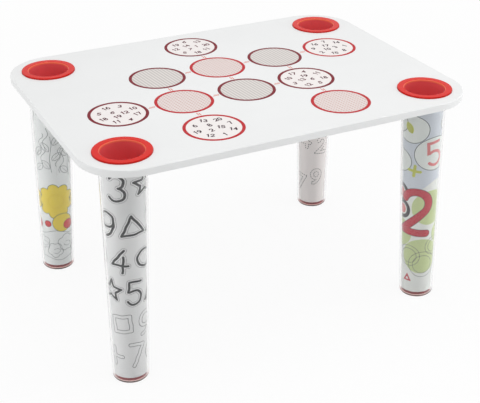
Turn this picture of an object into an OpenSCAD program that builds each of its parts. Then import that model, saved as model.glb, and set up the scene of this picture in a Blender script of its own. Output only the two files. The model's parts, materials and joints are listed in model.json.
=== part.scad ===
// A low play table for children: a rounded board on four clear tumbler legs. Each leg holds a printed
// card, goes up through the board and is clamped there, and carries a red storage cup in its mouth.
// Millimetres, +Z up, the origin on the floor under the middle of the board, +X along its length.

/* [Board] */
// Length of the board, left to right
board_l = 800; // [640:10:1000]
// Depth of the board, front to back
board_w = 590; // [460:10:800]
// Thickness of the board
board_t = 15; // [13:0.5:24]
// Radius of the board's corners in plan
board_corner_r = 95; // [60:5:130]
// Rounding along the board's top and bottom edges
board_edge_r = 2; // [0.5:0.5:5]
// Height of the board's top above the floor
top_z = 470; // [380:10:560]

/* [Legs] */
// From the middle of a leg, under the board, to each of the board's two nearest edges
leg_inset = 81; // [75:1:120]
// How far each leg leans outwards, in degrees
leg_lean = 2.57; // [0.2:0.01:4]
// Outer radius of a leg right under the board
leg_top_r = 44.4; // [40:0.2:50]
// Outer radius that the leg's taper reaches at the floor
leg_foot_r = 35.3; // [33:0.1:39]
// Wall of the clear leg
leg_wall = 3.5; // [3:0.1:5]
// Thickness of the leg's closed end, before the foot is cut level
leg_floor_t = 4.6; // [4.4:0.2:8]
// Rounding of the leg's closed end
leg_end_r = 8; // [6:0.5:10]
// How far the collar that bears against the board's underside reaches out past the leg
collar_w = 5.6; // [4.5:0.1:10]
// Thickness of the collar at its edge
collar_t = 4; // [3:0.5:8]
// Wall of the neck that goes up through the board
neck_wall = 2.8; // [2:0.1:3.5]

/* [Clamp rings] */
// Width of the ring nut, from its bore to its edge
ring_w = 6.6; // [5:0.2:9]
// Thickness of the ring nut
ring_t = 4.8; // [3:0.2:6]
// Number of spanner notches round the ring
notch_n = 6; // [3:1:12]
// Width of a notch
notch_w = 8; // [4:0.5:12]
// Depth of a notch, inwards from the ring's edge
notch_d = 2.6; // [1:0.2:3.5]

/* [Cups] */
// Depth of a cup inside, from its mouth to its floor
cup_depth = 93; // [40:1:140]
// Wall of a cup
cup_wall = 1.5; // [1.2:0.1:2.5]
// Thickness of a cup's floor
cup_floor_t = 2.2; // [1.2:0.1:4]
// Rounding of a cup's lower edge, outside
cup_corner_r = 8; // [4:0.5:14]
// How far the cup's rim stands above the board
rim_rise = 3; // [1.5:0.5:6]
// How far the cup's rim reaches past the clamp ring that it hides
rim_lap = 3.2; // [1.5:0.1:8]
// Rounding of the rim's outer edge
rim_edge_r = 1.8; // [0.5:0.1:2.2]
// Rounding of the lip, where the rim turns down into the cup
lip_r = 3; // [0.5:0.1:3.4]
// Depth of the seat that is cut in the board for the rim
seat_d = 0.8; // [0.5:0.1:2]

/* [Prints and feet] */
// Thickness of the rolled card
card_t = 0.5; // [0.3:0.1:1.2]
// Width of the gap where the card's two ends meet
card_seam = 0.6; // [0.3:0.1:4]
// Side of the leg that the seam is on, in degrees round from +X: 90 is the back of the table
card_seam_turn = 90; // [0:5:355]
// From the underside of the board down to the card's upper edge
card_top_gap = 3; // [3:0.5:20]
// Thickness of the red disc that the card stands on
disc_t = 9; // [4:0.5:16]
// Radius of the non-slip pad
pad_r = 24; // [12:0.5:25]
// Thickness of the non-slip pad
pad_t = 1.8; // [1.5:0.1:2.2]
// How far the pad stands out below the leg
pad_proud = 1; // [0.5:0.1:2]

/* [Fits] */
// Between the leg's neck and its hole in the board, on the radius
hole_clear = 0.3; // [0.1:0.05:1]
// Between the neck and the clamp ring's bore, on the radius
ring_clear = 0.1; // [0.05:0.05:0.3]
// Round and above the clamp ring in its pocket
pocket_clear = 0.4; // [0.2:0.05:1]
// Between a cup's rim and the edge of its seat, on the radius
seat_clear = 0.3; // [0.2:0.05:1]
// Between a cup and the neck or the card round it, on the radius
cup_clear = 0.4; // [0.3:0.05:1]
// Between the card or the disc and the leg's inner wall, on the radius
card_clear = 0.3; // [0.2:0.05:0.6]
// Between a pad and its recess, on the radius
pad_clear = 0.1; // [0.05:0.05:0.5]

/* [Hidden] */

// Corners of the table: the sign of x and the sign of y
FRONT_LEFT = [-1, -1];
FRONT_RIGHT = [1, -1];
BACK_LEFT = [-1, 1];
BACK_RIGHT = [1, 1];
CORNERS = [FRONT_LEFT, FRONT_RIGHT, BACK_LEFT, BACK_RIGHT];

// Facets of a full turn, steps of a rounded corner, and how far a cutter runs past what it cuts
round_fn = 96;
arc_n = 10;
past = 1;

// Heights
under_z = top_z - board_t;
seat_z = top_z - seat_d;
rim_z = top_z + rim_rise;
pocket_z = seat_z - pocket_clear - ring_t;
neck_top_z = pocket_z + ring_t;

// Radii about the vertical line through a leg's neck
collar_r = leg_top_r + collar_w;
neck_in_r = leg_top_r - neck_wall;
hole_r = leg_top_r + hole_clear;
ring_in_r = leg_top_r + ring_clear;
ring_out_r = ring_in_r + ring_w;
pocket_r = ring_out_r + pocket_clear;
rim_r = ring_out_r + rim_lap;
seat_r = rim_r + seat_clear;

// The leg's taper, as radius lost for each millimetre down the leg
leg_slope = (leg_top_r - leg_foot_r) / under_z;
// Radius of the flat end of the leg, before the foot is cut level
leg_flat_r = leg_foot_r - leg_end_r;
// Length of the leg along its own axis, so that the level cut takes away the whole flat end
leg_len = (under_z - pad_proud) / cos(leg_lean) + leg_flat_r * tan(leg_lean);
leg_in_r = leg_top_r - leg_wall;
leg_in_depth = leg_len - leg_floor_t;
leg_in_end_r = max(leg_end_r - leg_wall, 1);

// The card and the disc, as depths down the leg from the underside of the board
disc_top_depth = leg_in_depth - disc_t;
card_out_r = leg_in_r - card_clear;
card_in_r = card_out_r - card_t;

// The cup's outside narrows just enough to stay clear of the card, both at the card's upper edge and
// at the cup's own floor, where the leaning leg has come closer on one side
cup_top_r = neck_in_r - cup_clear;
cup_bottom_z = rim_z - cup_depth - cup_floor_t;
card_top_z = under_z - card_top_gap;
function free_r(z) =
    card_in_r - (under_z - z) * (leg_slope + tan(leg_lean)) - cup_clear;
function slope_to(z) =
    (cup_top_r - free_r(z)) / (seat_z - z);
cup_slope = max(slope_to(card_top_z), slope_to(cup_bottom_z));
cup_in_r = cup_top_r + cup_slope * (rim_z - seat_z) - cup_wall;
rim_round = min(rim_edge_r, (rim_z - seat_z) / 2);

// Points along an arc about [x, y], from one angle to another
function arc(x, y, r, from, to) = [
    for (i = [0:arc_n])
        let (turn = from + (to - from) * i / arc_n)
            [x + r * cos(turn), y + r * sin(turn)]
];

// The rounded lower corner of a tapered pot, from its wall to its floor. Its mouth has the radius
// mouth_r at the height mouth_y, and the wall loses slope in radius for each millimetre down.
function pot_corner(mouth_r, mouth_y, slope, depth, corner_r) =
    let (lean = atan(slope))
        arc(
            mouth_r - slope * (depth - corner_r) - corner_r / cos(lean),
            mouth_y - depth + corner_r,
            corner_r, -lean, -90
        );

// Half section of a solid tapered pot on the axis, its mouth on y = 0
module pot_section(mouth_r, slope, depth, corner_r) {
    polygon(concat(
        [[0, 0], [mouth_r, 0]],
        pot_corner(mouth_r, 0, slope, depth, corner_r),
        [[0, -depth]]
    ));
}

// Puts its children where a leg's neck stands, with z as it is
module at_neck(corner) {
    translate([corner[0] * (board_l / 2 - leg_inset), corner[1] * (board_w / 2 - leg_inset), 0])
        children();
}

// Puts its children on a leg's own leaning axis, which runs down from the underside of the board
module on_leg(corner) {
    at_neck(corner)
        translate([0, 0, under_z])
            rotate([0, 0, atan2(corner[1], corner[0])])
                rotate([0, -leg_lean, 0])
                    children();
}

// Puts its children level with the floor, under the middle of a leg's foot
module at_foot(corner) {
    shift = (under_z - pad_proud) * tan(leg_lean);
    at_neck(corner)
        rotate([0, 0, atan2(corner[1], corner[0])])
            translate([shift, 0, 0])
                children();
}

// A slab with rounded corners and rounded edges, standing on z = 0
module rounded_slab(length, width, height, corner_r, edge_r) {
    module half_section(reach) {
        square([reach - edge_r, height]);
        translate([0, edge_r]) square([reach, height - 2 * edge_r]);
        for (y = [edge_r, height - edge_r])
            translate([reach - edge_r, y]) circle(r = edge_r, $fn = round_fn);
    }
    module bar(run, reach) {
        translate([-run / 2, 0, 0])
            rotate([90, 0, 90])
                linear_extrude(run) {
                    half_section(reach);
                    mirror([1, 0]) half_section(reach);
                }
    }
    run_x = length - 2 * corner_r;
    run_y = width - 2 * corner_r;
    bar(run_x, width / 2);
    rotate([0, 0, 90]) bar(run_y, length / 2);
    for (corner = CORNERS)
        translate([corner[0] * run_x / 2, corner[1] * run_y / 2, 0])
            rotate_extrude($fn = round_fn) half_section(corner_r);
}

// The board, with a hole, a pocket and a shallow seat at each leg
module tabletop() {
    color("whitesmoke")
        difference() {
            translate([0, 0, under_z])
                rounded_slab(board_l, board_w, board_t, board_corner_r, board_edge_r);
            for (corner = CORNERS)
                at_neck(corner) {
                    translate([0, 0, under_z - past])
                        cylinder(r = hole_r, h = board_t + 2 * past, $fn = round_fn);
                    translate([0, 0, pocket_z])
                        cylinder(r = pocket_r, h = top_z - pocket_z + past, $fn = round_fn);
                    translate([0, 0, seat_z])
                        cylinder(r = seat_r, h = seat_d + past, $fn = round_fn);
                }
        }
}

// A clear leg: a leaning tumbler under the board, with a collar and an upright neck through it
module leg(corner) {
    collar_foot_z = under_z - collar_t - (collar_r - leg_in_r);
    color([0.9, 0.93, 0.95, 0.35])
        difference() {
            union() {
                difference() {
                    on_leg(corner)
                        rotate_extrude($fn = round_fn)
                            pot_section(leg_top_r, leg_slope, leg_len, leg_end_r);
                    at_neck(corner)
                        translate([0, 0, under_z - collar_t / 2])
                            cylinder(r = collar_r + past, h = board_t, $fn = round_fn);
                }
                at_neck(corner)
                    rotate_extrude($fn = round_fn)
                        polygon([
                            [0, collar_foot_z],
                            [leg_in_r, collar_foot_z],
                            [collar_r, under_z - collar_t],
                            [collar_r, under_z],
                            [leg_top_r, under_z],
                            [leg_top_r, neck_top_z],
                            [0, neck_top_z]
                        ]);
            }
            on_leg(corner)
                rotate_extrude($fn = round_fn)
                    pot_section(leg_in_r, leg_slope, leg_in_depth, leg_in_end_r);
            at_neck(corner)
                translate([0, 0, card_top_z])
                    cylinder(r = neck_in_r, h = neck_top_z - card_top_z + past, $fn = round_fn);
            at_foot(corner) {
                translate([0, 0, pad_proud - leg_end_r])
                    cylinder(r = leg_top_r, h = leg_end_r, $fn = round_fn);
                cylinder(r = pad_r + pad_clear, h = pad_t, $fn = round_fn);
            }
        }
}

// The ring nut on the neck, which pulls the collar up against the board
module clamp_ring(corner) {
    color("gainsboro")
        at_neck(corner)
            translate([0, 0, pocket_z])
                difference() {
                    cylinder(r = ring_out_r, h = ring_t, $fn = round_fn);
                    translate([0, 0, -past])
                        cylinder(r = ring_in_r, h = ring_t + 2 * past, $fn = round_fn);
                    for (turn = [0:notch_n - 1])
                        rotate([0, 0, turn * 360 / notch_n])
                            translate([ring_out_r - notch_d, -notch_w / 2, -past])
                                cube([notch_d + past, notch_w, ring_t + 2 * past]);
                }
}

// A storage cup, hung by its rim in the board's seat
module cup(corner) {
    wall_lean = atan(cup_slope);
    lip_x = cup_in_r - cup_slope * lip_r + lip_r / cos(wall_lean);
    outer_corner = pot_corner(cup_top_r, seat_z, cup_slope, seat_z - cup_bottom_z, cup_corner_r);
    inner_corner = pot_corner(cup_in_r, rim_z, cup_slope, cup_depth, cup_corner_r - cup_wall);
    color("red")
        at_neck(corner)
            rotate_extrude($fn = round_fn)
                polygon(concat(
                    [[0, cup_bottom_z + cup_floor_t]],
                    [for (i = [arc_n:-1:0]) inner_corner[i]],
                    arc(lip_x, rim_z - lip_r, lip_r, 180 - wall_lean, 90),
                    arc(rim_r - rim_round, rim_z - rim_round, rim_round, 90, 0),
                    [[rim_r, seat_z], [cup_top_r, seat_z]],
                    outer_corner,
                    [[0, cup_bottom_z]]
                ));
}

// The printed card, rolled to a cone inside the leg
module print_card(corner) {
    top_y = -card_top_gap;
    foot_y = -disc_top_depth;
    color("white")
        on_leg(corner)
            difference() {
                rotate_extrude($fn = round_fn)
                    polygon([
                        [card_in_r + leg_slope * top_y, top_y],
                        [card_out_r + leg_slope * top_y, top_y],
                        [card_out_r + leg_slope * foot_y, foot_y],
                        [card_in_r + leg_slope * foot_y, foot_y]
                    ]);
                rotate([0, 0, card_seam_turn - atan2(corner[1], corner[0])])
                    translate([0, -card_seam / 2, foot_y - past])
                        cube([leg_top_r, card_seam, disc_top_depth + past]);
            }
}

// The disc at the bottom of the leg, which the card stands on
module base_disc(corner) {
    color("firebrick")
        on_leg(corner)
            intersection() {
                rotate_extrude($fn = round_fn)
                    pot_section(card_out_r, leg_slope, leg_in_depth, leg_in_end_r - card_clear);
                translate([0, 0, -leg_in_depth])
                    cylinder(r = leg_top_r, h = disc_t, $fn = round_fn);
            }
}

// The non-slip pad in the foot's recess, level with the floor
module foot_pad(corner) {
    color("dimgray")
        at_foot(corner)
            cylinder(r = pad_r, h = pad_t, $fn = round_fn);
}

tabletop();

leg(FRONT_LEFT);  // leg_front_left
leg(FRONT_RIGHT);  // leg_front_right
leg(BACK_LEFT);  // leg_back_left
leg(BACK_RIGHT);  // leg_back_right

clamp_ring(FRONT_LEFT);  // clamp_ring_front_left
clamp_ring(FRONT_RIGHT);  // clamp_ring_front_right
clamp_ring(BACK_LEFT);  // clamp_ring_back_left
clamp_ring(BACK_RIGHT);  // clamp_ring_back_right

cup(FRONT_LEFT);  // cup_front_left
cup(FRONT_RIGHT);  // cup_front_right
cup(BACK_LEFT);  // cup_back_left
cup(BACK_RIGHT);  // cup_back_right

print_card(FRONT_LEFT);  // print_card_front_left
print_card(FRONT_RIGHT);  // print_card_front_right
print_card(BACK_LEFT);  // print_card_back_left
print_card(BACK_RIGHT);  // print_card_back_right

base_disc(FRONT_LEFT);  // base_disc_front_left
base_disc(FRONT_RIGHT);  // base_disc_front_right
base_disc(BACK_LEFT);  // base_disc_back_left
base_disc(BACK_RIGHT);  // base_disc_back_right

foot_pad(FRONT_LEFT);  // foot_pad_front_left
foot_pad(FRONT_RIGHT);  // foot_pad_front_right
foot_pad(BACK_LEFT);  // foot_pad_back_left
foot_pad(BACK_RIGHT);  // foot_pad_back_right
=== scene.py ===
# The looks of a low play table for children: the finish of its solids, the marks printed on its board
# and on the rolled cards in its clear legs, a pale studio and the camera. Places are in metres, in the
# frame of the solids. Printed motifs are drawn in millimetres and laid on their surface.
import json
import math

import bmesh
import bpy
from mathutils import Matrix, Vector


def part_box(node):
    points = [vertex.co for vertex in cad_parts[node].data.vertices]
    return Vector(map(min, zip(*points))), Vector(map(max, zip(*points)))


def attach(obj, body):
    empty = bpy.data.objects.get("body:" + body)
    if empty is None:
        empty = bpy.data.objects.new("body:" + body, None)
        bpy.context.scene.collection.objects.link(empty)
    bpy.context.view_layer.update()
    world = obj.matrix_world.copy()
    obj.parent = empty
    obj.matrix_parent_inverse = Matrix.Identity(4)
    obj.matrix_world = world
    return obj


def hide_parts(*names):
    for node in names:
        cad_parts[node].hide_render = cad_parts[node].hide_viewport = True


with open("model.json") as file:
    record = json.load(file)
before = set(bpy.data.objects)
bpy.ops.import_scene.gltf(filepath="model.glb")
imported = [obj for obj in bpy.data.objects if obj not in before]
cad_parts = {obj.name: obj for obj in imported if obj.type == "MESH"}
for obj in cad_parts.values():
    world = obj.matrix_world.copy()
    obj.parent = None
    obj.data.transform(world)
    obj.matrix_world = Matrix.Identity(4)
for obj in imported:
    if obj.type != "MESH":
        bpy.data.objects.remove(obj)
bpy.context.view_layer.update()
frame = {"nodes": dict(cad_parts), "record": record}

MM = 0.001
BOARD_BODY = "table"


def add_object(name, data):
    """A new object of the scene, made of a mesh, a lamp or a camera"""
    made = bpy.data.objects.new(name, data)
    bpy.context.scene.collection.objects.link(made)
    return made


# Camera

PHOTO_WIDTH = 480
SENSOR_MM = 36
FOCAL_LENGTH_PX = 1031.94
CAMERA_AZIMUTH = math.radians(-26.5118)
CAMERA_ELEVATION = math.radians(28.5208)
CAMERA_DISTANCE = 2.24843
CAMERA_TARGET = Vector((0.022948, 0.012317, 0.176672))


def add_camera():
    """The photograph's camera, as fitted to the outlines of the board, the legs and the cups' rims"""
    level = math.cos(CAMERA_ELEVATION)
    back = Vector((
        math.sin(CAMERA_AZIMUTH) * level,
        -math.cos(CAMERA_AZIMUTH) * level,
        math.sin(CAMERA_ELEVATION),
    ))
    data = bpy.data.cameras.new("camera")
    data.sensor_fit = "HORIZONTAL"
    data.sensor_width = SENSOR_MM
    data.lens = FOCAL_LENGTH_PX * SENSOR_MM / PHOTO_WIDTH
    camera = add_object("camera", data)
    camera.location = CAMERA_TARGET + CAMERA_DISTANCE * back
    camera.rotation_euler = back.to_track_quat("Z", "Y").to_euler()
    bpy.context.scene.camera = camera


# Materials

def srgb(red, green, blue):
    """A colour as written in 0 to 255, turned into Blender's linear light"""
    def linear(level):
        share = level / 255
        return share / 12.92 if share <= 0.04045 else ((share + 0.055) / 1.055) ** 2.4
    return (linear(red), linear(green), linear(blue), 1)


def scaled(colour, factor):
    return tuple(min(channel * factor, 1) for channel in colour[:3]) + (1,)


def feed(tree, value, socket):
    """Gives a socket a plain value, or links it to the socket of another node"""
    if isinstance(value, bpy.types.NodeSocket):
        tree.links.new(value, socket)
    else:
        socket.default_value = value


def calculate(tree, operation, *values):
    """The result of an operation on numbers or sockets"""
    made = tree.nodes.new("ShaderNodeMath")
    made.operation = operation
    for value, socket in zip(values, made.inputs):
        feed(tree, value, socket)
    return made.outputs[0]


def choose(tree, factor, first, second, output):
    """Sends the first shader to the output where the factor is 0, and the second where it is 1"""
    chooser = tree.nodes.new("ShaderNodeMixShader")
    for source, socket in zip((factor, first, second), chooser.inputs):
        tree.links.new(source, socket)
    tree.links.new(chooser.outputs["Shader"], tree.nodes[output].inputs["Surface"])


WHITE = (1, 1, 1, 1)
# The share of the pitch of printed lines over which a line's edge fades
STRIPE_EDGE = 0.08


class Finish:
    """A material made of nodes, built from the piece's own coordinates in metres"""

    def __init__(self, name, specular=0.5):
        self.material = bpy.data.materials.new(name)
        self.material.use_nodes = True
        self.tree = self.material.node_tree
        self.surface = self.tree.nodes["Principled BSDF"]
        self.surface.inputs["Specular IOR Level"].default_value = specular
        self.place = self.node("ShaderNodeTexCoord").outputs["Object"]

    def node(self, kind, **settings):
        made = self.tree.nodes.new(kind)
        for key, value in settings.items():
            setattr(made, key, value)
        return made

    def link(self, source, target):
        self.tree.links.new(source, target)

    def along(self, axis):
        """The place along the piece's own X, Y or Z"""
        parts = self.node("ShaderNodeSeparateXYZ")
        self.link(self.place, parts.inputs["Vector"])
        return parts.outputs[axis]

    def noise(self, size_mm, detail=3.0, stretch=(1, 1, 1)):
        """Noise from 0 to 1 whose blotches are about size_mm wide"""
        mapping = self.node("ShaderNodeMapping")
        mapping.inputs["Scale"].default_value = stretch
        self.link(self.place, mapping.inputs["Vector"])
        noise = self.node("ShaderNodeTexNoise")
        noise.inputs["Scale"].default_value = 1 / (size_mm * MM)
        noise.inputs["Detail"].default_value = detail
        self.link(mapping.outputs["Vector"], noise.inputs["Vector"])
        return noise.outputs["Fac"]

    def math(self, operation, *values):
        return calculate(self.tree, operation, *values)

    def spread(self, factor, low, high, from_low=0.3, from_high=0.7):
        """Maps a factor to the range from low to high"""
        made = self.node("ShaderNodeMapRange")
        for key, value in (
            ("From Min", from_low), ("From Max", from_high), ("To Min", low), ("To Max", high)
        ):
            made.inputs[key].default_value = value
        self.link(factor, made.inputs["Value"])
        return made.outputs["Result"]

    def mix(self, factor, first, second, blend_type="MIX"):
        """A colour out of two colours or colour sockets"""
        made = self.node("ShaderNodeMix", data_type="RGBA", blend_type=blend_type)
        feed(self.tree, factor, made.inputs["Factor"])
        for key, value in (("A", first), ("B", second)):
            socket = [s for s in made.inputs if s.name == key and s.type == "RGBA"][0]
            feed(self.tree, value, socket)
        return [s for s in made.outputs if s.type == "RGBA"][0]

    def clouded(self, factor, colour, darkest, lightest):
        """A colour that varies with a noise, between two factors of itself"""
        return self.mix(self.spread(factor, 0, 1), scaled(colour, darkest), scaled(colour, lightest))

    def paint(self, colour):
        """Gives the surface its colour out of a socket"""
        self.link(colour, self.surface.inputs["Base Color"])

    def uneven_gloss(self, size_mm, smoothest, roughest):
        """Roughness that varies in blotches about size_mm wide"""
        self.link(self.spread(self.noise(size_mm), smoothest, roughest), self.surface.inputs["Roughness"])

    def bump(self, height, depth_mm, strength=1.0):
        made = self.node("ShaderNodeBump")
        made.inputs["Strength"].default_value = strength
        made.inputs["Distance"].default_value = depth_mm * MM
        self.link(height, made.inputs["Height"])
        self.link(made.outputs["Normal"], self.surface.inputs["Normal"])

    def choose(self, factor, second):
        """Shows the surface where the factor is 0, and a second shader where it is 1"""
        choose(self.tree, factor, self.surface.outputs["BSDF"], second, "Material Output")

    def stripes(self, angle, pitch_mm, width_share):
        """Parallel lines across the XY plane: 1 on a line and 0 between the lines"""
        pitch = pitch_mm * MM
        along_x = self.math("MULTIPLY", self.along("X"), math.cos(angle) / pitch)
        across = self.math("MULTIPLY_ADD", self.along("Y"), math.sin(angle) / pitch, along_x)
        wave = self.math("ABSOLUTE", self.math("SUBTRACT", self.math("FRACT", across), 0.5))
        return self.spread(wave, 1, 0, width_share / 2, width_share / 2 + STRIPE_EDGE)


def moulded(name, colour, roughness, grain_mm=0.6, depth_mm=0.01, tone=0.06, specular=0.4):
    """Moulded plastic or rubber: cloudy tone, uneven gloss and a fine surface grain"""
    finish = Finish(name, specular)
    finish.paint(finish.clouded(finish.noise(45), colour, 1 - tone, 1 + tone))
    finish.uneven_gloss(12, roughness * 0.8, roughness * 1.2)
    finish.bump(finish.noise(grain_mm, detail=2), depth_mm)
    return finish.material


# Heights above the board's top, in metres, between which the cups' wall, paler with painted light, turns
# into the painted highlight of their lip, and between which that painted highlight turns into the rim
LIP_FOOT = (-0.0018, 0.0004)
LIP_HEAD = (0.0023, 0.0029)
# Distances from a cup's middle, as shares of its width, between which only the rim is left, and
# between which painted shade darkens the rim to its outer edge
RIM_BEGINS = (0.42, 0.44)
RIM_EDGE = (0.484, 0.496)
RIM_EDGE_SHADE = 0.75


def off_middle(finish):
    """The distance from the upright line through a piece's middle, as a share of the piece's width"""
    flat = finish.node("ShaderNodeVectorMath", operation="MULTIPLY")
    finish.link(finish.node("ShaderNodeTexCoord").outputs["Generated"], flat.inputs[0])
    flat.inputs[1].default_value = (1, 1, 0)
    outwards = finish.node("ShaderNodeVectorMath", operation="DISTANCE")
    finish.link(flat.outputs["Vector"], outwards.inputs[0])
    outwards.inputs[1].default_value = (0.5, 0.5, 0)
    return outwards.outputs["Value"]


def cup_plastic(name, rim_colour, lip_highlight_colour, lit_wall_colour):
    """Glossy red plastic with a painted highlight on the lip inside the rim, painted shade at the rim's
    outer edge, and below them a paler colour, painted light that stands for light passing through the
    thin wall"""
    finish = Finish(name, specular=0.1)
    height = finish.math("SUBTRACT", finish.along("Z"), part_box("tabletop")[1][2])
    outwards = off_middle(finish)
    beyond_lip = finish.spread(outwards, 0, 1, *RIM_BEGINS)
    on_rim = finish.math("MAXIMUM", finish.spread(height, 0, 1, *LIP_HEAD), beyond_lip)
    # The lip's lighter colour is a painted highlight, and the wall's paler colour painted light
    tone = finish.mix(finish.spread(height, 0, 1, *LIP_FOOT), lit_wall_colour, lip_highlight_colour)
    tone = finish.mix(on_rim, tone, rim_colour)
    # Painted shade on the rim's outer edge
    painted_edge_shade = finish.spread(outwards, 0, 1, *RIM_EDGE)
    tone = finish.mix(painted_edge_shade, tone, scaled(rim_colour, RIM_EDGE_SHADE))
    clouds = finish.clouded(finish.noise(45), WHITE, 0.95, 1)
    finish.paint(finish.mix(1, tone, clouds, "MULTIPLY"))
    finish.uneven_gloss(12, 0.14, 0.2)
    finish.bump(finish.noise(0.6, detail=2), 0.01)
    return finish.material


def lacquer(name, colour):
    """White lacquer on board: a faint orange peel, and a trace of unevenness in tone and gloss"""
    finish = Finish(name, specular=0.3)
    tone = finish.clouded(finish.noise(140), colour, 0.985, 1.01)
    specks = finish.spread(finish.noise(1.2, detail=4), 0, 1, 0.62, 0.75)
    finish.paint(finish.mix(specks, tone, scaled(colour, 0.96)))
    finish.uneven_gloss(30, 0.32, 0.42)
    finish.bump(finish.noise(2.5, detail=2), 0.02, 0.5)
    return finish.material


# The least and the most tint of the clear plastic, and the tint of its shadow
CLEAR_TINTS = (0.985, 0.99, 0.99, 1), (0.965, 0.975, 0.975, 1)
SHADOW_TINT = (0.95, 0.955, 0.955, 1)
# A painted reflection: the red that the clear feet show of the disc in them, painted into their colour,
# and the heights in metres between which it ends
FOOT_DISC_REFLECTION = (0.72, 0.36, 0.32, 1)
FOOT_REFLECTION_ENDS = (0.004, 0.01)
ACRYLIC_IOR = 1.49


def clear_plastic(name):
    """Clear moulded plastic that bends light, lets lamps light the card inside it, and has a painted
    reflection of the red disc low in its feet
    """
    finish = Finish(name)
    surface = finish.surface
    tint = finish.mix(finish.spread(finish.noise(60), 0, 1), *CLEAR_TINTS)
    # Painted reflection of the red disc, low in the feet
    in_foot = finish.spread(finish.along("Z"), 1, 0, *FOOT_REFLECTION_ENDS)
    finish.paint(finish.mix(in_foot, tint, FOOT_DISC_REFLECTION))
    surface.inputs["Transmission Weight"].default_value = 1
    surface.inputs["IOR"].default_value = ACRYLIC_IOR
    finish.uneven_gloss(25, 0.01, 0.04)
    finish.bump(finish.noise(18, detail=1), 0.02, 0.3)
    shadow = finish.node("ShaderNodeLightPath").outputs["Is Shadow Ray"]
    see_through = finish.node("ShaderNodeBsdfTransparent")
    see_through.inputs["Color"].default_value = SHADOW_TINT
    finish.choose(shadow, see_through.outputs["BSDF"])
    return finish.material


PAPER_SPECULAR = 0.2


def card_stock(name, colour):
    """Printed card: fibres in its tone and in its surface, and a matt face"""
    finish = Finish(name, PAPER_SPECULAR)
    fibres = finish.noise(0.9, detail=4, stretch=(1, 1, 0.35))
    finish.paint(finish.clouded(fibres, colour, 0.97, 1.02))
    finish.uneven_gloss(20, 0.62, 0.75)
    finish.bump(fibres, 0.015, 0.6)
    return finish.material


def ink(name, colour, grain, roughness):
    """Printing ink, slightly broken up by the grain of what it is printed on"""
    finish = Finish(name, PAPER_SPECULAR)
    specks = finish.spread(finish.noise(0.7, detail=4), 0, 1, 0.35, 0.65)
    finish.paint(finish.mix(specks, scaled(colour, 1 - grain), scaled(colour, 1 + grain)))
    finish.uneven_gloss(8, roughness * 0.9, roughness * 1.1)
    return finish.material


# The turn of the hatching's first set of lines, in degrees round from the table's depth
HATCH_TURN = 6


def hatched(name, ground, line, pitch_mm, width_share, dotted=False):
    """Fine slanting lines, or with a second set of them dots where the two sets cross"""
    finish = Finish(name, PAPER_SPECULAR)
    marks = finish.stripes(math.radians(HATCH_TURN), pitch_mm, width_share)
    if dotted:
        crossing = finish.stripes(math.radians(HATCH_TURN + 90), pitch_mm, width_share)
        marks = finish.math("MULTIPLY", marks, crossing)
    tone = finish.clouded(finish.noise(25), ground, 0.985, 1.01)
    finish.paint(finish.mix(marks, tone, line))
    finish.uneven_gloss(8, 0.4, 0.5)
    return finish.material


# Each ink's colour, how much the grain of what it is printed on breaks it up, and its roughness
INK_LOOKS = {
    "maroon": ((120, 8, 28), 0.12, 0.5),
    "red": ((187, 27, 36), 0.12, 0.5),
    "wine": ((88, 14, 36), 0.12, 0.5),
    "slate": ((62, 30, 46), 0.12, 0.5),
    "orange": ((222, 96, 62), 0.12, 0.5),
    "paper_white": ((241, 236, 234), 0.01, 0.5),
    "pencil": ((34, 33, 36), 0.4, 0.6),
    "pencil_light": ((112, 108, 112), 0.3, 0.6),
    "line_grey": ((104, 108, 110), 0.12, 0.5),
    "line_dark": ((70, 76, 80), 0.12, 0.5),
    "yellow": ((240, 214, 62), 0.05, 0.5),
    "yellow_deep": ((222, 182, 40), 0.05, 0.5),
    "berry": ((212, 52, 54), 0.05, 0.5),
    "crimson": ((198, 48, 66), 0.05, 0.5),
    "rose": ((226, 128, 128), 0.05, 0.5),
    "blue_grey": ((214, 219, 227), 0.02, 0.5),
    "pale_green": ((236, 239, 235), 0.02, 0.5),
    "sage": ((204, 216, 158), 0.03, 0.5),
    "lime": ((196, 200, 84), 0.04, 0.5),
    "char": ((48, 44, 48), 0.12, 0.5),
}
INKS = {
    name: ink("ink_" + name, srgb(*colour), grain, roughness)
    for name, (colour, grain, roughness) in INK_LOOKS.items()
}
INKS["grey_hatch"] = hatched("ink_grey_hatch", srgb(226, 220, 216), srgb(200, 195, 191), 7, 0.5)
INKS["pink_hatch"] = hatched(
    "ink_pink_hatch", srgb(228, 216, 213), srgb(206, 174, 167), 6.8, 0.41, dotted=True
)

FINISHES = {
    "board_lacquer": lacquer("board_lacquer", srgb(236, 237, 237)),
    "clear_plastic": clear_plastic("clear_plastic"),
    "ring_plastic": moulded("ring_plastic", srgb(222, 222, 220), 0.5, depth_mm=0.02, tone=0.03),
    # The cups' red, the painted highlight of their lip, and the paler wall colour, painted light passing
    # through the thin wall
    "red_plastic": cup_plastic("red_plastic", srgb(222, 30, 18), srgb(244, 114, 86), srgb(239, 96, 100)),
    "disc_plastic": moulded("disc_plastic", srgb(134, 20, 30), 0.35, specular=0.2),
    "pad_rubber": moulded("pad_rubber", srgb(74, 42, 36), 0.8, grain_mm=0.9, depth_mm=0.05, tone=0.2),
}
CARDS = {
    "front_left": card_stock("card_cool_white", srgb(233, 232, 232)),
    "front_right": card_stock("card_warm_white", srgb(238, 239, 235)),
    "back_left": card_stock("card_grey_white", srgb(238, 239, 238)),
    "back_right": card_stock("card_pinkish_white", srgb(242, 234, 232)),
}

INKS["bare_cool_white"] = CARDS["front_left"]
INKS["bare_pinkish_white"] = CARDS["back_right"]


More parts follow.
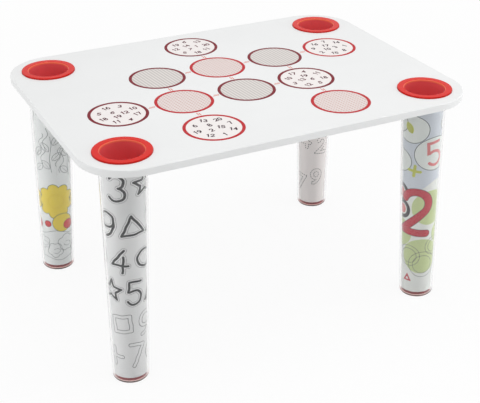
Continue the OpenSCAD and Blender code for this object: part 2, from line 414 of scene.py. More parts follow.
def dress_solids():
    """Gives every solid its finish by the material slot that the record names for it"""
    for part in frame["record"]["subparts"]:
        node = part["node"]
        data = frame["nodes"][node].data
        data.materials.clear()
        if part["material_slot"] == "printed_card":
            data.materials.append(CARDS[node.removeprefix("print_card_")])
        else:
            data.materials.append(FINISHES[part["material_slot"]])


# Paths, as lists of points in millimetres

TINY = 1e-6
# The least cosine of half the turn of a mitred corner, below which its point is cut short
SHARPEST_MITRE = 0.5


def arc(cx, cy, rx, ry, start, end, step=10):
    """Points along an ellipse, from one angle to another in degrees"""
    count = max(2, round(abs(end - start) / step))
    turns = [math.radians(start + (end - start) * i / count) for i in range(count + 1)]
    return [(cx + rx * math.cos(turn), cy + ry * math.sin(turn)) for turn in turns]


def circle(radius, step=10):
    return arc(0, 0, radius, radius, 0, 360, step)


def loop(radius_at, step=5):
    """A closed path about the middle, whose radius is a function of the angle in radians"""
    count = round(360 / step)
    turns = [2 * math.pi * i / count for i in range(count)]
    points = [(radius_at(turn) * math.cos(turn), radius_at(turn) * math.sin(turn)) for turn in turns]
    return points + points[:1]


def polygon(*corners):
    return list(corners) + [corners[0]]


def turned(path, size, turn=0.0, shift=(0, 0)):
    """A path scaled, turned by an angle in degrees and moved"""
    c, s = math.cos(math.radians(turn)) * size, math.sin(math.radians(turn)) * size
    return [(shift[0] + c * x - s * y, shift[1] + s * x + c * y) for x, y in path]


def is_closed(path):
    return math.dist(path[0], path[-1]) < TINY


def fine(path, step):
    """The path with points added, so that none is further than step from the next"""
    points = [path[0]]
    for (ax, ay), (bx, by) in zip(path, path[1:]):
        count = max(1, math.ceil(math.dist((ax, ay), (bx, by)) / step))
        points += [(ax + (bx - ax) * i / count, ay + (by - ay) * i / count) for i in range(1, count + 1)]
    return points


def beside(path, distance):
    """The path moved to its left by a distance, with mitred corners"""
    def left(a, b):
        length = math.dist(a, b)
        return Vector(((a[1] - b[1]) / length, (b[0] - a[0]) / length))
    sides = [left(a, b) for a, b in zip(path, path[1:])]
    closed = is_closed(path)
    moved = []
    for i, (x, y) in enumerate(path):
        before = sides[i - 1] if i > 0 or closed else sides[0]
        after = sides[i] if i < len(sides) else sides[0] if closed else sides[-1]
        middle = (before + after).normalized() if (before + after).length > TINY else after
        reach = distance / max(middle.dot(after), SHARPEST_MITRE)
        moved.append((x + middle.x * reach, y + middle.y * reach))
    return moved


def smooth_runs(path, sharpest=35):
    """The path cut where it turns by more than some degrees"""
    runs, run = [], [path[0]]
    for (ax, ay), (bx, by), (cx, cy) in zip(path, path[1:], path[2:]):
        run.append((bx, by))
        if Vector((bx - ax, by - ay)).angle((cx - bx, cy - by)) > math.radians(sharpest):
            runs.append(run)
            run = [(bx, by)]
    return runs + [run + [path[-1]]]


def half_disc(end, corner):
    """The closed half of a disc beyond the end of a line, clockwise from the corner of that end"""
    start = math.degrees(math.atan2(corner[1] - end[1], corner[0] - end[0]))
    radius = math.dist(end, corner)
    half = arc(*end, radius, radius, start, start - 180, step=20)
    return half + half[:1]


def around(path, distance):
    """The outlines that run round a path at a distance: one with round ends, or two if it is closed"""
    left, right = beside(path, distance), beside(path, -distance)
    if is_closed(path):
        return [left, right]
    far_cap = half_disc(path[-1], left[-1])[1:-2]
    near_cap = half_disc(path[0], right[0])[1:-2]
    return [left + far_cap + right[::-1] + near_cap + left[:1]]


def dashes(path, dash, gap, step=0.7):
    """Short pieces of a path with gaps between them"""
    points = fine(path, step)
    on, pitch = round(dash / step), round((dash + gap) / step)
    return [points[i:i + on + 1] for i in range(0, len(points) - on, pitch)]


def shaky(path, amount):
    """The path as a hand draws it, a little off its line"""
    moved = [
        (x + amount * math.sin(0.31 * y + 0.17 * x), y + amount * math.sin(0.27 * x - 0.21 * y + 1))
        for x, y in path
    ]
    if is_closed(path):
        moved[-1] = moved[0]
    return moved


def nine_or_six(sign):
    tail = arc(0.3, -0.2, 0.58, 0.7, 108, 180)
    bowl = arc(0, -0.2, 0.28, 0.3, 180, 530)[1:]
    return [[(sign * x, sign * y) for x, y in tail + bowl]]


# Numerals and plain shapes, one unit high, as strokes
SYMBOLS = {
    "0": [arc(0, 0, 0.28, 0.5, 90, 450)],
    "1": [[(-0.15, 0.31), (0.05, 0.5), (0.05, -0.5)]],
    "2": [arc(0, 0.22, 0.27, 0.28, 165, -35) + [(-0.27, -0.5), (0.29, -0.5)]],
    "3": [arc(-0.02, 0.25, 0.25, 0.25, 150, -75) + arc(-0.02, -0.24, 0.29, 0.26, 75, -150)],
    "4": [[(0.12, 0.5), (-0.3, -0.17), (0.32, -0.17)], [(0.13, 0.2), (0.13, -0.5)]],
    "5": [[(0.25, 0.5), (-0.2, 0.5), (-0.24, 0.06)] + arc(-0.02, -0.19, 0.29, 0.31, 125, -145)],
    "6": nine_or_six(1),
    "7": [[(-0.27, 0.5), (0.28, 0.5), (-0.08, -0.5)]],
    "8": [arc(0, 0.25, 0.22, 0.25, -90, 270), arc(0, -0.25, 0.28, 0.25, 90, 450)],
    "9": nine_or_six(-1),
    "ring": [loop(lambda turn: 0.36)],
    "triangle": [polygon((-0.42, -0.36), (0.42, -0.36), (0, 0.42))],
    "square": [polygon((-0.34, -0.34), (0.34, -0.34), (0.34, 0.34), (-0.34, 0.34))],
    "star": [polygon(*[
        (reach * math.sin(math.pi * i / 5), reach * math.cos(math.pi * i / 5))
        for i, reach in enumerate((0.46, 0.2) * 5)
    ])],
    "plus": [[(-0.38, 0), (0.38, 0)], [(0, 0.38), (0, -0.38)]],
}
NUMERAL_ADVANCE = 0.78

CLOUD = loop(lambda turn: 0.4 + 0.1 * abs(math.sin(2.5 * turn)))
PETALS = loop(lambda turn: 0.4 + 0.1 * abs(math.sin(4.5 * turn)) ** 0.8, step=4)
LEAF = arc(-0.3, 0, 0.583, 0.583, -59, 59) + arc(0.3, 0, 0.583, 0.583, 121, 239)
VEIN = [(0, -0.4), (0, 0.3)]


def numeral_paths(text, height):
    """The strokes of a number, side by side about its middle"""
    start = -(len(text) - 1) / 2 * NUMERAL_ADVANCE
    return [
        turned(path, height, shift=((start + i * NUMERAL_ADVANCE) * height, 0))
        for i, digit in enumerate(text)
        for path in SYMBOLS[digit]
    ]


# Marks on a surface

class Marks:
    """Flat printed marks of one sheet, gathered as faces that each have an ink. A place is a function
    that takes x, y and a lift in millimetres, and gives the point on the surface."""

    LAYER_MM = 0.035
    STEP_MM = 2
    # How much of the way to its middle a shape is filled, so that the last faces keep an area
    FILLED = 0.999

    def __init__(self):
        self.points = []
        self.faces = []
        self.inks = []

    def grid(self, rows, ink_name):
        """Rows of points joined by four-sided faces"""
        first = len(self.points)
        width = len(rows[0])
        for row in rows:
            self.points += row
        for i in range(len(rows) - 1):
            for j in range(width - 1):
                a = first + i * width + j
                self.faces.append((a, a + 1, a + 1 + width, a + width))
                self.inks.append(ink_name)

    def stroke(self, place, path, width, ink_name, layer=1):
        """A line of some width along a path, with round ends where it is wide and open"""
        points = fine(path, self.STEP_MM)
        columns = max(1, math.ceil(width / self.STEP_MM))
        rows = [beside(points, width * (i / columns - 0.5)) for i in range(columns + 1)]
        lift = self.LAYER_MM * (layer + 1)
        self.grid([[place(x, y, lift) for x, y in row] for row in rows], ink_name)
        if width >= self.STEP_MM and not is_closed(path):
            for end, corner in ((points[-1], rows[-1][-1]), (points[0], rows[0][0])):
                self.fill(place, half_disc(end, corner), ink_name, layer)

    def fill(self, place, path, ink_name, layer=0):
        """A closed path filled about its middle, which it must bulge round"""
        points = fine(path, self.STEP_MM)
        cx = sum(x for x, y in points[1:]) / (len(points) - 1)
        cy = sum(y for x, y in points[1:]) / (len(points) - 1)
        reach = max(math.dist((cx, cy), point) for point in points)
        rings = max(1, math.ceil(reach / self.STEP_MM))
        lift = self.LAYER_MM * (layer + 1)
        shares = [1 - self.FILLED * i / rings for i in range(rings + 1)]
        rows = [
            [place(cx + (x - cx) * share, cy + (y - cy) * share, lift) for x, y in points]
            for share in shares
        ]
        self.grid(rows, ink_name)

    def bands(self, place, paths, widths_and_inks, layer=1):
        """Lines drawn over and over, each time narrower and in the next ink, which leaves clean edges"""
        runs = [run for path in paths for run in smooth_runs(path)]
        for i, (width, ink_name) in enumerate(widths_and_inks):
            for run in runs:
                self.stroke(place, run, width, ink_name, layer + i)

    def symbol(self, place, name, height, width, ink_name, layer=1):
        for path in SYMBOLS[name]:
            self.stroke(place, turned(path, height), width, ink_name, layer)

    def piece(self, name, slot, body):
        """The marks as one mesh that rides on a body"""
        mesh = bpy.data.meshes.new(name)
        mesh.from_pydata([tuple(point) for point in self.points], [], self.faces)
        used = sorted(set(self.inks))
        for ink_name in used:
            mesh.materials.append(INKS[ink_name])
        for face, ink_name in zip(mesh.polygons, self.inks):
            face.material_index = used.index(ink_name)
            face.use_smooth = True
        made = add_object(name, mesh)
        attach(made, body)


# The print on the board

RING_PITCH = 135
RING_RADIUS = 54.8
RIM_WIDTH = 6.3
GRID_MIDDLE = (1.2, 6.7)
NUMBER_HEIGHT = 10.5
NUMBER_STROKE = 2.4
# Rows from the back to the front, a letter for each place: m and r are rings of numbers with a maroon
# or a red rim, h is hatched in grey, d is dotted in pink
RING_ROWS = (
    "..m..",
    ".hdhr",
    "mdhm.",
    ".r.d.",
)
RING_KINDS = {
    "m": {"rim": "maroon", "fill": "paper_white", "numbers": "wine"},
    "r": {"rim": "red", "fill": "paper_white", "numbers": "slate"},
    "h": {"rim": "maroon", "fill": "grey_hatch", "numbers": None},
    "d": {"rim": "red", "fill": "pink_hatch", "numbers": None},
}
# Each round of numbers in a ring: how many, how far out, the angle between them, and how much further
# round they start in each next ring
NUMBER_ROUNDS = ((3, 13, 120, 25), (8, 36, 45, 31))
NUMBER_TILT = 22
HIGHEST_NUMBER = 20
# How far the numbers count on from one to the next in a ring, and from one ring to the next
COUNT_IN_RING, COUNT_TO_NEXT = 13, 9
# The two dashes between rings, along the line from one ring to the next, and their width
LINK_DASHES = ([(-7, -2), (6, -2)], [(-4, 2), (8, 2)])
LINK_WIDTH = 1.7


def on_board(x0, y0, turn=0.0):
    """A place on the board's top, about a point in millimetres"""
    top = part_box("tabletop")[1][2]
    c, s = math.cos(math.radians(turn)), math.sin(math.radians(turn))

    def place(x, y, lift):
        return Vector(((x0 + c * x - s * y) * MM, (y0 + s * x + c * y) * MM, top + lift * MM))
    return place


def ring_places():
    """The kind, the middle and the place in the rows of each ring"""
    found = []
    for row, kinds in enumerate(RING_ROWS):
        for column, kind in enumerate(kinds):
            if kind in RING_KINDS:
                x = GRID_MIDDLE[0] + (column - (len(kinds) - 1) / 2) * RING_PITCH
                y = GRID_MIDDLE[1] + ((len(RING_ROWS) - 1) / 2 - row) * RING_PITCH
                found.append((kind, x, y, (row, column)))
    return found


def scatter_numbers(marks, x0, y0, ink_name, seed):
    """Plain numbers scattered in a ring in two rounds, each turned a little"""
    spots = [
        (reach, apart * i + shift * seed)
        for count, reach, apart, shift in NUMBER_ROUNDS
        for i in range(count)
    ]
    for i, (reach, turn) in enumerate(spots):
        value = (COUNT_IN_RING * i + COUNT_TO_NEXT * seed) % HIGHEST_NUMBER + 1
        tilt = NUMBER_TILT * math.sin(2.1 * i + seed)
        x = x0 + reach * math.cos(math.radians(turn))
        y = y0 + reach * math.sin(math.radians(turn))
        place = on_board(x, y, tilt)
        for path in numeral_paths(str(value), NUMBER_HEIGHT):
            marks.stroke(place, path, NUMBER_STROKE, ink_name)


def link_rings(marks, x, y, next_x, next_y):
    """Two short dashes halfway between the middles of two rings"""
    heading = math.degrees(math.atan2(next_y - y, next_x - x))
    between = on_board((x + next_x) / 2, (y + next_y) / 2, heading)
    for dash in LINK_DASHES:
        marks.stroke(between, dash, LINK_WIDTH, "orange")


def print_board():
    """Rings on a square lattice, hatched, dotted or with numbers in them, and dashes between them"""
    rims, fills, numbers, links = Marks(), Marks(), Marks(), Marks()
    rings = ring_places()
    cells = {cell: (x, y) for kind, x, y, cell in rings}
    outline = loop(lambda turn: RING_RADIUS, step=3)
    for seed, (kind, x, y, (row, column)) in enumerate(rings):
        style = RING_KINDS[kind]
        rims.stroke(on_board(x, y), outline, RIM_WIDTH, style["rim"], layer=2)
        fills.fill(on_board(x, y), outline, style["fill"])
        if style["numbers"]:
            scatter_numbers(numbers, x, y, style["numbers"], seed)
        for neighbour in ((row, column + 1), (row + 1, column)):
            if neighbour in cells:
                link_rings(links, x, y, *cells[neighbour])
    for name, marks in (("rims", rims), ("fills", fills), ("numbers", numbers), ("links", links)):
        marks.piece("board_print_" + name, "board_lacquer", BOARD_BODY)


# The legs

# Sizes of the clear leg in millimetres, as its solid has them
CARD_FIT = 0.3
LEG_WALL = 3.5
NECK_WALL = 2.8
LEG_FLOOR = 4.6
LEG_END_RADIUS = 8
COLLAR_WIDTH = 5.6
COLLAR_THICKNESS = 4
PAD_FIT = 0.1
# How finely the skin is divided, round the leg and round its lower corners
LEG_SIDES = 192
LEG_TURNS = [2 * math.pi * i / LEG_SIDES for i in range(LEG_SIDES)]
CORNER_STEPS = 12
# A ring this far above the corner keeps the shading of the corner off the long wall
WALL_GUARD = 1
# How near its ends the card's end radii are read, in metres
EDGE_BAND = 0.0005
BELT_ROWS = 24
BELT_STEP = 2


class Leg:
    """A leg's leaning axis and the outer face of the card in it, read from the solids. Depths run down
    the leg from the underside of the board. Prints are placed in millimetres and degrees, 0 towards +X
    and -90 towards the front, and the rings of the clear skin in metres and radians."""

    def __init__(self, corner):
        self.corner = corner
        ring_low, ring_high = (Vector(p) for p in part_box("clamp_ring_" + corner))
        pad_low, pad_high = (Vector(p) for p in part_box("foot_pad_" + corner))
        self.neck_top = ring_high.z
        self.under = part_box("tabletop")[0][2]
        self.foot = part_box("leg_" + corner)[0][2]
        self.pad_top = pad_high.z
        self.pad_radius = (pad_high.x - pad_low.x) / 2
        self.pad_middle = (pad_low + pad_high) / 2
        neck = (ring_low + ring_high) / 2
        self.top = Vector((neck.x, neck.y, self.under))
        self.down = (Vector((self.pad_middle.x, self.pad_middle.y, self.foot)) - self.top).normalized()
        self.east = (Vector((1, 0, 0)) - self.down.x * self.down).normalized()
        self.north = (-self.down).cross(self.east)
        self.measure_card()

    def measure_card(self):
        """The card's first and last depth, its outer radius at both, and how fast it tapers"""
        spots = []
        for vertex in frame["nodes"]["print_card_" + self.corner].data.vertices:
            reach = vertex.co - self.top
            depth = reach.dot(self.down)
            spots.append((depth, (reach - depth * self.down).length))
        self.first = min(depth for depth, radius in spots)
        self.last = max(depth for depth, radius in spots)
        self.first_radius = max(r for depth, r in spots if depth < self.first + EDGE_BAND)
        self.last_radius = max(r for depth, r in spots if depth > self.last - EDGE_BAND)
        self.slope = (self.first_radius - self.last_radius) / (self.last - self.first)

    def card_radius(self, depth):
        """The card's outer radius at a depth, both in metres"""
        return self.first_radius - (depth - self.first) * self.slope

    def reach(self, angle, depth, radius):
        """A point about the leaning axis, in metres from an angle in radians"""
        outwards = math.cos(angle) * self.east + math.sin(angle) * self.north
        return self.top + depth * self.down + radius * outwards

    def spot(self, angle, depth, turn=0.0):
        """A place on the card about an angle and a depth, x to the right and y up as seen from outside"""
        c, s = math.cos(math.radians(turn)), math.sin(math.radians(turn))
        mean_radius = (self.first_radius + self.last_radius) / 2

        def place(x, y, lift):
            down = min(max((depth - s * x - c * y) * MM, self.first), self.last)
            round_by = (c * x - s * y) * MM / mean_radius
            return self.reach(math.radians(angle) + round_by, down, self.card_radius(down) + lift * MM)
        return place

    def leaning_ring(self, depth, radius):
        """A ring about the leaning axis, flattened where it would reach below the level foot"""
        ring = [self.reach(turn, depth, radius) for turn in LEG_TURNS]
        return [Vector((p.x, p.y, max(p.z, self.foot))) for p in ring]

    def pot_rings(self, wall, depth, corner_radius):
        """Rings down a leaning wall and round its lower corner, at a wall's distance from the card"""
        lean = math.atan(self.slope)
        level = depth - corner_radius
        middle = self.card_radius(level) + wall - corner_radius / math.cos(lean)
        above = level - WALL_GUARD * MM
        rings = [self.leaning_ring(above, self.card_radius(above) + wall)]
        for i in range(CORNER_STEPS + 1):
            turn = -lean - (math.pi / 2 - lean) * i / CORNER_STEPS
            radius = middle + corner_radius * math.cos(turn)
            rings.append(self.leaning_ring(level - corner_radius * math.sin(turn), radius))
        return rings

    def belt(self, marks, upper, lower, ink_name):
        """A belt of ink all round, from a depth to one that is a function of the angle in degrees"""
        rows = []
        for i in range(BELT_ROWS + 1):
            share = i / BELT_ROWS
            row = []
            for angle in range(0, 361, BELT_STEP):
                depth = upper + share * (lower(angle) - upper)
                radius = self.card_radius(depth * MM) + Marks.LAYER_MM * MM
                row.append(self.reach(math.radians(angle), depth * MM, radius))
            rows.append(row)
        marks.grid(rows[::-1], ink_name)


def level_ring(middle, radius, height):
    return [
        Vector((middle.x + radius * math.cos(turn), middle.y + radius * math.sin(turn), height))
        for turn in LEG_TURNS
    ]


def skin(name, rings, finish, sharp_degrees=12):
    """A closed solid whose skin runs through rings of points, and is closed at its first and last"""
    mesh = bmesh.new()
    rows = [[mesh.verts.new(point) for point in ring] for ring in rings]
    for upper, lower in zip(rows, rows[1:]):
        for i in range(len(upper)):
            mesh.faces.new((upper[i - 1], upper[i], lower[i], lower[i - 1]))
    for ring in (rows[0], rows[-1]):
        middle = mesh.verts.new(sum((vert.co for vert in ring), Vector()) / len(ring))
        for i in range(len(ring)):
            mesh.faces.new((ring[i - 1], ring[i], middle))
    bmesh.ops.recalc_face_normals(mesh, faces=mesh.faces)
    for face in mesh.faces:
        face.smooth = True
    data = bpy.data.meshes.new(name)
    mesh.to_mesh(data)
    mesh.free()
    data.set_sharp_from_angle(angle=math.radians(sharp_degrees))
    data.materials.append(finish)
    return add_object(name, data)


def clear_leg(leg):
    """The clear tumbler with its collar and neck, in the form of its solid but with a finer skin, since
    clear plastic shows every facet at its edges"""
    inner_wall = CARD_FIT * MM
    outer_wall = (CARD_FIT + LEG_WALL) * MM
    neck_radius = leg.card_radius(0) + outer_wall
    collar_radius = neck_radius + COLLAR_WIDTH * MM
    collar_foot = leg.under - COLLAR_THICKNESS * MM
    under_collar = (COLLAR_THICKNESS + COLLAR_WIDTH) * MM
    # The solid's taper is set by its radius at a depth as great as the board's underside is high
    flat_radius = leg.card_radius(leg.under) + outer_wall - LEG_END_RADIUS * MM
    lean = leg.down.angle(Vector((0, 0, -1)))
    length = (leg.under - leg.foot) / math.cos(lean) + flat_radius * math.tan(lean)
    inside = [leg.leaning_ring(leg.first, leg.card_radius(leg.first) + inner_wall)]
    inside += leg.pot_rings(inner_wall, length - LEG_FLOOR * MM, (LEG_END_RADIUS - LEG_WALL) * MM)
    outside = [leg.leaning_ring(under_collar, leg.card_radius(under_collar) + outer_wall)]
    outside += leg.pot_rings(outer_wall, length, LEG_END_RADIUS * MM)
    pad_hole = leg.pad_radius + PAD_FIT * MM
    rings = inside[::-1] + [
        level_ring(leg.top, neck_radius - NECK_WALL * MM, leg.under - leg.first),
        level_ring(leg.top, neck_radius - NECK_WALL * MM, leg.neck_top),
        level_ring(leg.top, neck_radius, leg.neck_top),
        level_ring(leg.top, neck_radius, leg.under),
        level_ring(leg.top, collar_radius, leg.under),
        level_ring(leg.top, collar_radius, collar_foot),
    ] + outside + [
        level_ring(leg.pad_middle, pad_hole, leg.foot),
        level_ring(leg.pad_middle, pad_hole, leg.pad_top),
    ]
    made = skin("clear_leg_" + leg.corner, rings, FINISHES["clear_plastic"])
    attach(made, BOARD_BODY)
    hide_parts("leg_" + leg.corner)


# The prints on the cards. Angles are in degrees, and depths, sizes and widths in millimetres.

THIN = 0.9

PENCIL_ROWS = (
    ("3", "star", "8", "ring", "5"),
    ("triangle", "2", "6", "square", "9"),
    ("4", "ring", "plus", "7", "0"),
    ("5", "triangle", "3", "8", "star"),
    ("square", "9", "2", "1", "6"),
    ("7", "ring", "4", "triangle", "plus"),
)
PENCIL_FIRST_ANGLE, PENCIL_SPACING = -128, 72
PENCIL_FIRST_DEPTH, PENCIL_ROW_PITCH = 40, 71
PENCIL_HEIGHT = 48
DARK_ROWS = 4
DARK_PENCIL = ((10.4, "pencil_light"), (9, "bare_cool_white"), (4.4, "pencil"))
HOLLOW_PENCIL = ((8.2, "pencil_light"), (5.8, "bare_cool_white"))


def print_front_left(leg, marks):
    """Large numerals and plain shapes in pencil: dark strokes with a thin line round them above, and
    hollow ones below"""
    for row, names in enumerate(PENCIL_ROWS):
        for column, name in enumerate(names):
            angle = PENCIL_FIRST_ANGLE + PENCIL_SPACING * (column + row % 2 / 2)
            angle += 5 * math.sin(3 * row + column)
            depth = PENCIL_FIRST_DEPTH + PENCIL_ROW_PITCH * row + 4 * math.sin(5 * column + row)
            place = leg.spot(angle, depth, turn=6 * math.sin(2 * row + 3 * column))
            lines = [shaky(fine(turned(path, PENCIL_HEIGHT), 2), 0.5) for path in SYMBOLS[name]]
            marks.bands(place, lines, DARK_PENCIL if row < DARK_ROWS else HOLLOW_PENCIL)


STEM = [(0, -52), (-3, -20), (2, 14), (0, 34)]
# A leaf's side of the stem, its height on it and its tilt
SPRIG_LEAVES = ((-1, -34, 40), (1, -14, -45), (-1, 8, 35), (1, 24, -30))
# A berry's angle from its flower, its depth and its radius
BERRIES = ((42, 338, 12), (-34, 334, 8))
# The card's radius about halfway down, at which the hills run once round the leg
HILLS_RADIUS = 36


def draw_sprig(marks, stem):
    """A stem with four veined leaves"""
    marks.stroke(stem, STEM, THIN, "line_grey")
    for side, height, tilt in SPRIG_LEAVES:
        foot = (side * 11, height)
        marks.stroke(stem, turned(LEAF, 24, tilt, foot), THIN, "line_grey")
        marks.stroke(stem, turned(VEIN, 24, tilt, foot), 0.6, "line_grey")


def draw_flower(leg, marks, angle):
    """A yellow flower with its bud and two berries"""
    flower = leg.spot(angle, 276)
    marks.fill(flower, turned(PETALS, 86), "yellow", layer=1)
    marks.stroke(flower, turned(PETALS, 86), 1.1, "line_dark", layer=2)
    marks.stroke(flower, circle(17), THIN, "yellow_deep", layer=3)
    bud = leg.spot(angle + 20, 331)
    marks.fill(bud, circle(23), "yellow", layer=3)
    marks.stroke(bud, circle(23), 1, "line_dark", layer=4)
    for turn, depth, size in BERRIES:
        berry = leg.spot(angle + turn, depth)
        marks.fill(berry, circle(size), "berry", layer=5)
        marks.stroke(berry, circle(size), 0.8, "line_dark", layer=6)


def draw_hills(leg, marks, depth, height, phase):
    """A wavy line round the leg"""
    hills = [
        (math.radians(turn) * HILLS_RADIUS, height * math.sin(math.radians(turn * 3 + phase)))
        for turn in range(0, 361, 3)
    ]
    marks.stroke(leg.spot(-140, depth), hills, THIN, "line_grey")


def print_back_left(leg, marks):
    """Clouds, ripples, sprigs, pebbles and hills in thin grey line, with yellow flowers and berries"""
    for i in range(6):
        angle = -140 + 60 * i
        cloud = leg.spot(angle, 52 + 26 * (i % 2), turn=10 * math.sin(i))
        marks.stroke(cloud, turned(CLOUD, 44), THIN, "line_grey")
        marks.stroke(cloud, turned(CLOUD, 26, 40, (4, -8)), 0.7, "line_grey")
        ripple = leg.spot(angle + 6, 142 + 20 * (i % 2), turn=80)
        long_wave = [(x, 4 * math.sin(0.16 * x + i)) for x in range(-44, 45, 4)]
        short_wave = [(x, 9 + 4 * math.sin(0.2 * x)) for x in range(-30, 33, 3)]
        marks.stroke(ripple, long_wave, THIN, "line_grey")
        marks.stroke(ripple, short_wave, 0.8, "line_grey")
        draw_sprig(marks, leg.spot(angle + 26, 152 + 14 * (i % 3)))
    for i in range(3):
        draw_flower(leg, marks, -104 + 120 * i)
    for i in range(8):
        pebble = leg.spot(-160 + 45 * i, 384 + 18 * (i % 2), turn=20 * math.sin(2 * i))
        marks.stroke(pebble, turned(CLOUD, 34 + 5 * (i % 3)), THIN, "line_grey")
        marks.stroke(pebble, arc(2, -3, 9, 6, 200, 480), 0.8, "line_grey")
    draw_hills(leg, marks, 356, 5, 0)
    draw_hills(leg, marks, 424, 4, 150)


DOTTED_ROWS = (
    ("3", "24", "7", "16"),
    ("5", "12", "8", "30"),
    ("4", "21", "6", "18"),
    ("9", "15", "2", "27"),
)
DOTTED_FIRST_ANGLE, DOTTED_SPACING = -150, 90
DOTTED_FIRST_DEPTH, DOTTED_ROW_PITCH = 62, 102
DOTTED_HEIGHT = 38
# The dots' distance from the middle of a numeral's line, their length, the gap between them and their
# width, and the bare line that keeps the numeral's inside clear of them
DOTS_OFF, DOT_LENGTH, DOT_GAP, DOT_WIDTH = 4, 3.5, 2.8, 1.9
BARE_LINE = ((6.2, "bare_pinkish_white"),)


def print_back_right(leg, marks):
    """Numbers in dotted outline, spaced wide"""
    for row, numbers in enumerate(DOTTED_ROWS):
        for column, text in enumerate(numbers):
            angle = DOTTED_FIRST_ANGLE + DOTTED_SPACING * (column + row % 2 / 2)
            depth = DOTTED_FIRST_DEPTH + DOTTED_ROW_PITCH * row + 16 * (column % 2)
            place = leg.spot(angle, depth, turn=8 * math.sin(2 * (4 * row + column)))
            strokes = [fine(path, 2) for path in numeral_paths(text, DOTTED_HEIGHT)]
            for path in strokes:
                for edge in around(path, DOTS_OFF):
                    for dash in dashes(edge, DOT_LENGTH, DOT_GAP):
                        marks.stroke(place, dash, DOT_WIDTH, "char")
            marks.bands(place, strokes, BARE_LINE, layer=2)


# Round motifs: each one's angle from the middle of its group, its depth and its radius
ISLANDS = ((-30, 58, 33), (44, 112, 40), (-72, 132, 28), (100, 50, 24))
DISCS = ((40, 236, 40), (14, 352, 42), (-76, 300, 34))
THIN_RINGS = ((-30, 352, 25), (20, 372, 31), (62, 330, 22))
BELT_HEAD = 3.6
BOLD_BANDS = ((17.6, "line_dark"), (15.6, "crimson"))


def draw_islands(leg, marks, angle):
    """Round islands with a numeral, a leaf and a plus on them"""
    for turn, depth, size in ISLANDS:
        island = leg.spot(angle + turn, depth)
        shore = arc(0, 0, size, size * 0.92, 0, 360, step=6)
        marks.fill(island, shore, "pale_green", layer=1)
        marks.stroke(island, shore, 1.3, "line_dark", layer=2)
    marks.symbol(leg.spot(angle + 42, 112, 8), "5", 50, 6, "rose", layer=3)
    marks.fill(leg.spot(angle - 36, 56, 25), turned(LEAF, 26), "lime", layer=3)
    marks.symbol(leg.spot(angle - 18, 150, -6), "plus", 30, 6, "lime", layer=3)


def draw_bold_numeral(leg, marks, angle):
    """A bold red numeral on green discs, with two dark rings beside it"""
    for turn, depth, size in DISCS:
        marks.fill(leg.spot(angle + turn, depth), circle(size, step=5), "sage")
    bold = leg.spot(angle - 12, 246, -4)
    for path in SYMBOLS["2"]:
        marks.bands(bold, [fine(turned(path, 96), 3)], BOLD_BANDS, layer=2)
    for turn, depth in ((-66, 206), (-60, 244)):
        dark = leg.spot(angle + turn, depth)
        marks.stroke(dark, arc(0, 0, 16, 18, 0, 360), 8, "char", layer=1)
        marks.fill(dark, arc(0, 0, 9, 11, 0, 360), "rose", layer=1)


def print_front_right(leg, marks):
    """Round islands in a pale blue-grey belt above, a bold red numeral, thin rings and green discs"""
    def belt_foot(angle):
        return 186 + 14 * math.sin(math.radians(2 * angle + 40))

    leg.belt(marks, BELT_HEAD, belt_foot, "blue_grey")
    for i in range(2):
        angle = -127 + 180 * i
        draw_islands(leg, marks, angle)
        draw_bold_numeral(leg, marks, angle)
        for turn, depth, size in THIN_RINGS:
            ring = leg.spot(angle + turn, depth)
            marks.stroke(ring, circle(size), THIN, "line_grey", layer=3)
            marks.stroke(ring, circle(size * 0.7), THIN, "line_grey", layer=3)
        marks.symbol(leg.spot(angle - 34, 408), "triangle", 17, 3.5, "crimson", layer=2)


CARD_PRINTS = {
    "front_left": print_front_left,
    "front_right": print_front_right,
    "back_left": print_back_left,
    "back_right": print_back_right,
}


def make_legs():
    for corner, draw in CARD_PRINTS.items():
        leg = Leg(corner)
        clear_leg(leg)
        marks = Marks()
        draw(leg, marks)
        marks.piece("card_print_" + corner, "printed_card", BOARD_BODY)


# The studio

AMBIENT = 0.535
# How much of the floor is its own glow at the table, and the distances over which that grows to all
FLOOR_GLOW = 0.92
FLOOR_FADE = (0.7, 3)
FLOOR_REACH = 12
FLOOR_COLOUR = (0.9, 0.9, 0.9, 1)
FLOOR_ROUGHNESS = 0.9
LAMP_AIM = Vector((0, 0, 0.3))
# A lamp's name, its azimuth and distance about the table's middle, its height, width, depth and watts
LAMPS = (
    ("lamp_above", -60, 0.3, 2.5, 1.9, 1.9, 24.5),
    ("lamp_left", 182, 2.7, 0.6, 2.2, 1.0, 15.5),
    ("lamp_right", -32, 2.7, 0.6, 2.2, 1.0, 21.5),
)


def looked_at(tree):
    """1 for rays that come straight from the camera, or by way of gloss and clear plastic, else 0"""
    path = tree.nodes.new("ShaderNodeLightPath")
    looking = path.outputs["Is Camera Ray"]
    for name in ("Is Glossy Ray", "Is Transmission Ray"):
        looking = calculate(tree, "MAXIMUM", looking, path.outputs[name])
    direct = calculate(tree, "LESS_THAN", path.outputs["Diffuse Depth"], 0.5)
    return calculate(tree, "MULTIPLY", looking, direct)


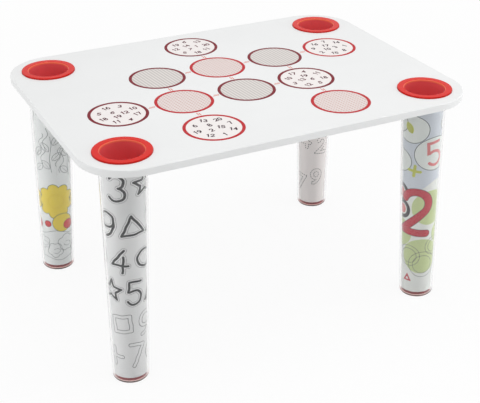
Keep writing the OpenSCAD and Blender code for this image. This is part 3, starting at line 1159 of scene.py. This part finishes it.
def add_world():
    """Even light on the table, and a white backdrop where the world is looked at"""
    world = bpy.data.worlds.new("studio")
    bpy.context.scene.world = world
    world.use_nodes = True
    tree = world.node_tree
    light = tree.nodes["Background"]
    light.inputs["Strength"].default_value = AMBIENT
    light.inputs["Color"].default_value = WHITE
    backdrop = tree.nodes.new("ShaderNodeBackground")
    backdrop.inputs["Color"].default_value = WHITE
    backdrop.inputs["Strength"].default_value = 1
    shaders = (light.outputs["Background"], backdrop.outputs["Background"])
    choose(tree, looked_at(tree), *shaders, "World Output")


def floor_finish():
    """A pale matt finish, which the camera sees mostly as a white glow, and far out as nothing else"""
    finish = Finish("studio_floor", specular=0.1)
    finish.surface.inputs["Base Color"].default_value = FLOOR_COLOUR
    finish.surface.inputs["Roughness"].default_value = FLOOR_ROUGHNESS
    distance = finish.node("ShaderNodeVectorMath", operation="LENGTH")
    finish.link(finish.place, distance.inputs[0])
    share = finish.spread(distance.outputs["Value"], FLOOR_GLOW, 1, *FLOOR_FADE)
    glowing = finish.math("MULTIPLY", looked_at(finish.tree), share)
    finish.choose(glowing, finish.node("ShaderNodeEmission").outputs["Emission"])
    return finish.material


def add_floor():
    """A pale floor that keeps the table's soft shadow and grows white towards its far edges"""
    corners = [(x * FLOOR_REACH, y * FLOOR_REACH, 0) for x, y in ((-1, -1), (1, -1), (1, 1), (-1, 1))]
    mesh = bpy.data.meshes.new("floor")
    mesh.from_pydata(corners, [], [(0, 1, 2, 3)])
    mesh.materials.append(floor_finish())
    floor = add_object("floor", mesh)


def add_lamps():
    for name, azimuth, distance, height, width, depth, watts in LAMPS:
        data = bpy.data.lights.new(name, "AREA")
        data.shape = "RECTANGLE"
        data.size = width
        data.size_y = depth
        data.energy = watts
        lamp = add_object(name, data)
        turn = math.radians(azimuth)
        lamp.location = (distance * math.cos(turn), distance * math.sin(turn), height)
        lamp.rotation_euler = (lamp.location - LAMP_AIM).to_track_quat("Z", "Y").to_euler()


add_camera()
dress_solids()
print_board()
make_legs()
add_world()
add_floor()
add_lamps()
bpy.context.scene.view_settings.view_transform = "Standard"
